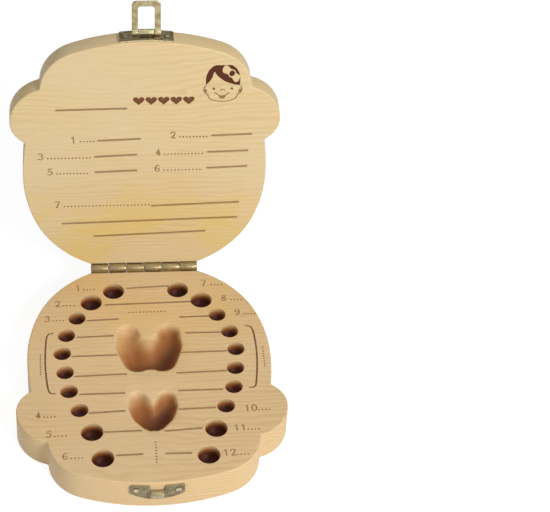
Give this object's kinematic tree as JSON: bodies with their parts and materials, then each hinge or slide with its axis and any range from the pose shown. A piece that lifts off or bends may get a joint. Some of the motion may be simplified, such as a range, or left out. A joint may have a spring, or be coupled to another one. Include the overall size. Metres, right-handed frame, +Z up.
{
  "type": "baby tooth box",
  "caption": "Wooden keepsake box shaped like a child's head, with round hollows for milk teeth, a hinged lid and a loop clasp.",
  "frame": {"origin": "on the base's underside, below the centre of the head outline", "axes": "+X to the right as seen from the chin, +Y from the chin back to the hinge, +Z up; the lid stands open 93 degrees at rest"},
  "size_m": [0.122, 0.1513, 0.1646],
  "materials": {
    "base_wood": "fine sanded pale wood, unvarnished",
    "lid_wood": "fine sanded pale wood, unvarnished",
    "hinge_brass": "brushed antique brass",
    "hinge_steel": "drawn wire",
    "screw_brass": "polished",
    "clasp_bronze": "antique bronze plated, worn edges",
    "nail_bronze": "dark antique bronze"
  },
  "bodies": {
    "base": {"base_block": "base_wood", "base_hinge_leaf": "hinge_brass", "hinge_pin": "hinge_steel", "base_hinge_screw_1": "screw_brass", "base_hinge_screw_2": "screw_brass", "base_hinge_screw_3": "screw_brass", "base_hinge_screw_4": "screw_brass", "catch_plate": "clasp_bronze", "catch_nail_left": "nail_bronze", "catch_nail_right": "nail_bronze"},
    "lid": {"lid_panel": "lid_wood", "lid_hinge_leaf": "hinge_brass", "lid_hinge_screw_1": "screw_brass", "lid_hinge_screw_2": "screw_brass", "lid_hinge_screw_3": "screw_brass", "lid_hinge_screw_4": "screw_brass", "latch_plate": "clasp_bronze", "latch_nail_left": "nail_bronze", "latch_nail_right": "nail_bronze", "latch_pin": "clasp_bronze"},
    "latch": {"latch_loop": "clasp_bronze"}
  },
  "joints": [
    {"name": "lid_hinge", "type": "hinge", "parent": "base", "child": "lid", "pos_m": [0, 0.0679, 0.0161], "axis": [-1, 0, 0], "range_deg": [-93, 87]},
    {"name": "latch_loop_hinge", "type": "hinge", "parent": "lid", "child": "latch", "pos_m": [0, 0.07963, 0.15012], "axis": [-1, 0, 0], "range_deg": [-101, 90]}
  ]
}
